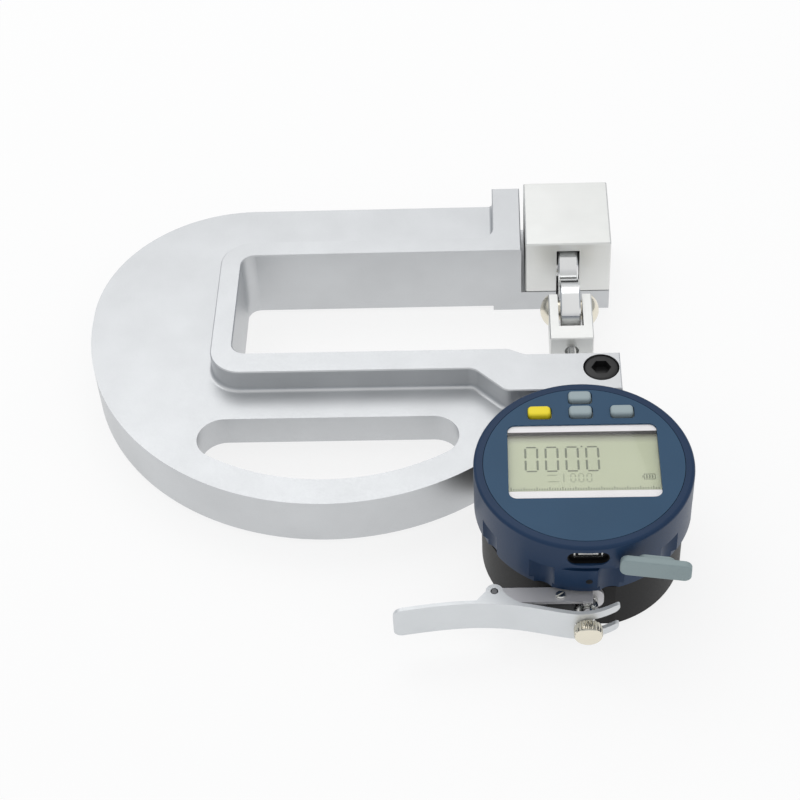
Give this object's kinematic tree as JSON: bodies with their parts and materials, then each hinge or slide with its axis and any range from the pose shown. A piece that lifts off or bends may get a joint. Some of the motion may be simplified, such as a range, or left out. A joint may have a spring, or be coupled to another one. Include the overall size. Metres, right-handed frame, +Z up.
{
  "type": "digital thickness gauge",
  "caption": "Deep-throat digital thickness gauge: two rollers meet in the throat of a D-shaped frame, one on a spring-loaded spindle raised by a lift lever.",
  "frame": {"origin": "underside of the anvil shelf, straight below the anvil roller's axle and in the spindle's vertical plane", "axes": "+X along the arms, out of the throat; +Y along the spindle, from the indicator to the anvil; +Z up, out of the display face"},
  "size_m": [0.1742, 0.1663, 0.0376],
  "materials": {
    "frame_alloy": "milled aluminium, bead-blasted and clear anodised",
    "block_steel": "milled steel, satin chrome plated",
    "ground_steel": "hardened steel, ground and polished",
    "black_screw": "black oxide steel",
    "black_body": "black moulded body, fine matt grain",
    "nickel": "nickel plated steel",
    "warm_nickel": "bright nickel plated steel, warm tone",
    "spring_steel": "bare spring steel",
    "plated_steel": "pressed steel, satin nickel plated",
    "lever_plating": "bent steel strip, satin chrome plated",
    "circuit_board": "circuit board with green solder mask",
    "scale_glass": "graduated strip",
    "blue_plastic": "moulded ABS, slate blue, satin",
    "face_plastic": "printed face plate, grey blue, satin",
    "window": "clear acrylic window",
    "lcd": "reflective display glass, grey green",
    "white_plastic": "white moulded holder",
    "yellow_rubber": "moulded silicone, yellow",
    "grey_rubber": "moulded silicone, pale grey",
    "cover_rubber": "moulded rubber flap, grey"
  },
  "bodies": {
    "root": {"c_frame": "frame_alloy", "clamp_screw": "black_screw", "anvil_block": "block_steel", "anvil_block_screws": "black_screw", "anvil_axle": "ground_steel", "anvil_inner_ring": "ground_steel", "stem": "ground_steel", "indicator_case": "black_body", "back_cover": "black_body", "back_cover_screws": "black_screw", "upper_bush": "nickel", "bush_collar": "nickel", "guide_rod": "ground_steel", "encoder_board": "circuit_board", "encoder_screws": "nickel", "return_spring": "spring_steel", "swivel_ring": "nickel", "swivel_ring_screws": "nickel", "lever_bracket": "plated_steel", "bracket_nut": "nickel", "bracket_screw": "nickel", "lever_pin": "nickel"},
    "anvil_roller": {"anvil_outer_ring": "ground_steel", "anvil_balls": "ground_steel"},
    "spindle_set": {"spindle": "ground_steel", "contact_stud": "nickel", "clevis": "nickel", "roller_axle_barrel": "warm_nickel", "roller_axle_screw": "warm_nickel", "roller_inner_ring": "ground_steel", "lift_knob": "warm_nickel", "scale_carriage": "black_body", "scale_strip": "scale_glass"},
    "measuring_roller": {"roller_outer_ring": "ground_steel", "roller_balls": "ground_steel"},
    "lever": {"lift_lever": "lever_plating"},
    "head": {"display_case": "blue_plastic", "face_plate": "face_plastic", "window_lens": "window", "lcd_panel": "lcd", "lcd_holder": "white_plastic", "display_board": "circuit_board", "board_screws": "nickel", "battery": "spring_steel", "battery_clip": "spring_steel", "data_port": "nickel", "tact_switches": "black_body"},
    "cover": {"port_cover": "cover_rubber"},
    "power_key": {"power_button": "yellow_rubber"},
    "hold_key": {"hold_button": "grey_rubber"},
    "unit_key": {"unit_button": "grey_rubber"},
    "zero_key": {"zero_button": "grey_rubber"}
  },
  "joints": [
    {"name": "spindle_slide", "type": "slide", "parent": "root", "child": "spindle_set", "axis": [0, -1, 0], "range_m": [0, 0.01], "stiffness_N_per_m": 60, "springref_m": -0.01, "deforming": ["return_spring"]},
    {"name": "lever_pivot", "type": "hinge", "parent": "root", "child": "lever", "pos_m": [-0.0243, -0.1304, 0.013], "axis": [0, 0, 1], "range_deg": [-23.6, 0]},
    {"name": "anvil_roller_spin", "type": "hinge", "parent": "root", "child": "anvil_roller", "pos_m": [0, 0, 0.013], "axis": [1, 0, 0], "continuous": true},
    {"name": "measuring_roller_spin", "type": "hinge", "parent": "spindle_set", "child": "measuring_roller", "pos_m": [0, -0.0192, 0.013], "axis": [1, 0, 0], "continuous": true},
    {"name": "display_turn", "type": "hinge", "parent": "root", "child": "head", "pos_m": [0, -0.102, 0.02], "axis": [0, 0, 1], "range_deg": [-160, 160]},
    {"name": "port_cover_swing", "type": "hinge", "parent": "head", "child": "cover", "pos_m": [0.0083, -0.13239, 0.03075], "axis": [0, 0, 1], "range_deg": [-171, 0]},
    {"name": "power_press", "type": "slide", "parent": "head", "child": "power_key", "axis": [0, 0, -1], "range_m": [0, 0.0004], "stiffness_N_per_m": 400, "springref_m": -0.0005},
    {"name": "hold_press", "type": "slide", "parent": "head", "child": "hold_key", "axis": [0, 0, -1], "range_m": [0, 0.0004], "stiffness_N_per_m": 400, "springref_m": -0.0005},
    {"name": "unit_press", "type": "slide", "parent": "head", "child": "unit_key", "axis": [0, 0, -1], "range_m": [0, 0.0004], "stiffness_N_per_m": 400, "springref_m": -0.0005},
    {"name": "zero_press", "type": "slide", "parent": "head", "child": "zero_key", "axis": [0, 0, -1], "range_m": [0, 0.0004], "stiffness_N_per_m": 400, "springref_m": -0.0005}
  ],
  "couplings": [
    {"joint": "lever_pivot", "follows": "spindle_slide", "rad_per_m": -41.152}
  ]
}
